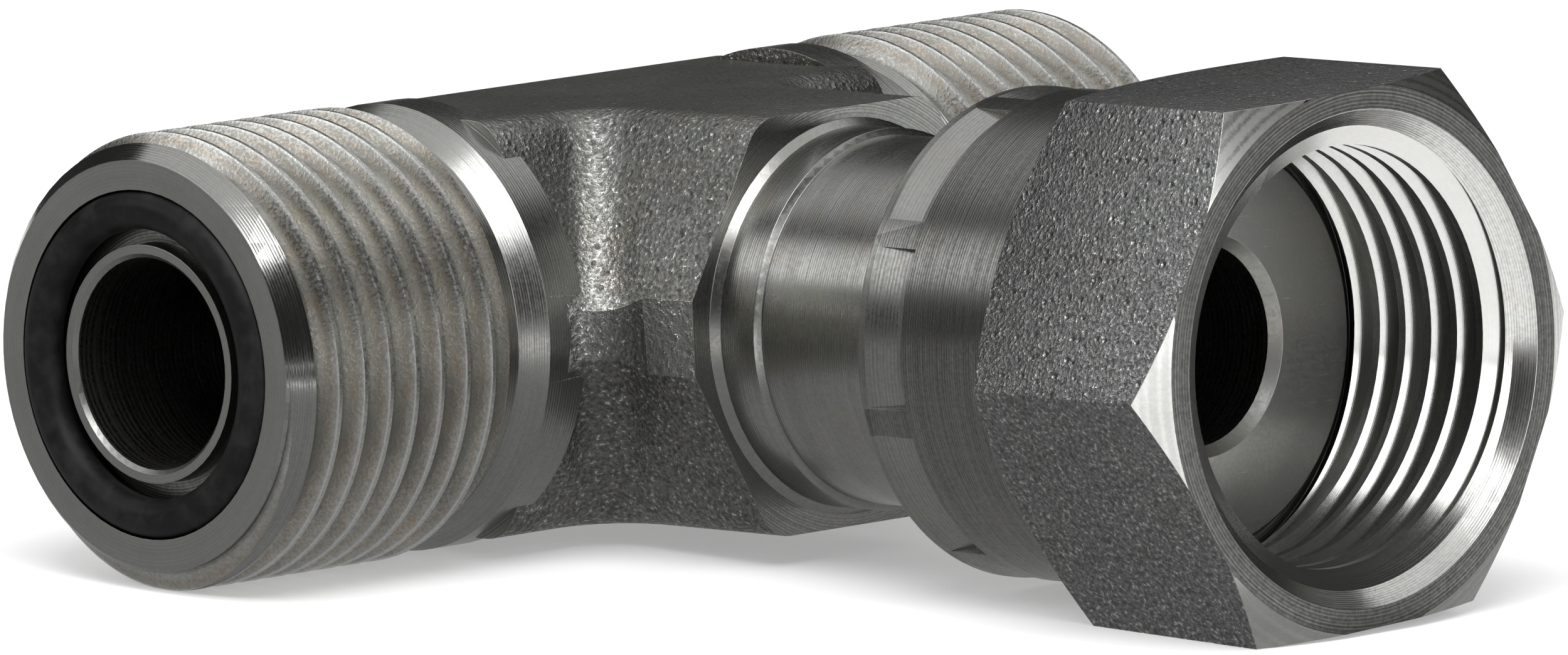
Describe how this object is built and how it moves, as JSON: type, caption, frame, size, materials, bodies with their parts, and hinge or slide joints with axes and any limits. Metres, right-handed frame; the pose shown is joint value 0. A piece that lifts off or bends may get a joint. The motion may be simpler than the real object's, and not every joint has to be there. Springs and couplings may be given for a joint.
{
  "type": "hydraulic tee fitting",
  "caption": "Steel branch tee with a male face seal thread at each end of its run and a free-turning hexagonal swivel nut crimped onto its branch.",
  "frame": {"origin": "where the run's axis and the branch's axis cross", "axes": "+X along the run, -Y along the branch towards its swivel nut, +Z square to the forging's upper flat"},
  "size_m": [0.0586, 0.0584, 0.0246],
  "materials": {
    "tee_steel": "zinc alloy plated steel: satin grey blasted forging, semi-gloss turned ends",
    "nut_steel": "zinc alloy plated steel: blasted flats, fine tool rings on the turned collar and front",
    "seal_rubber": "smooth black nitrile rubber, semi-matt"
  },
  "bodies": {
    "tee": {"tee_body": "tee_steel", "left_port_o_ring": "seal_rubber", "right_port_o_ring": "seal_rubber"},
    "nut": {"swivel_nut": "nut_steel"}
  },
  "joints": [
    {"name": "nut_swivel", "type": "hinge", "parent": "tee", "child": "nut", "pos_m": [0, -0.038, 0], "axis": [0, -1, 0], "continuous": true}
  ]
}
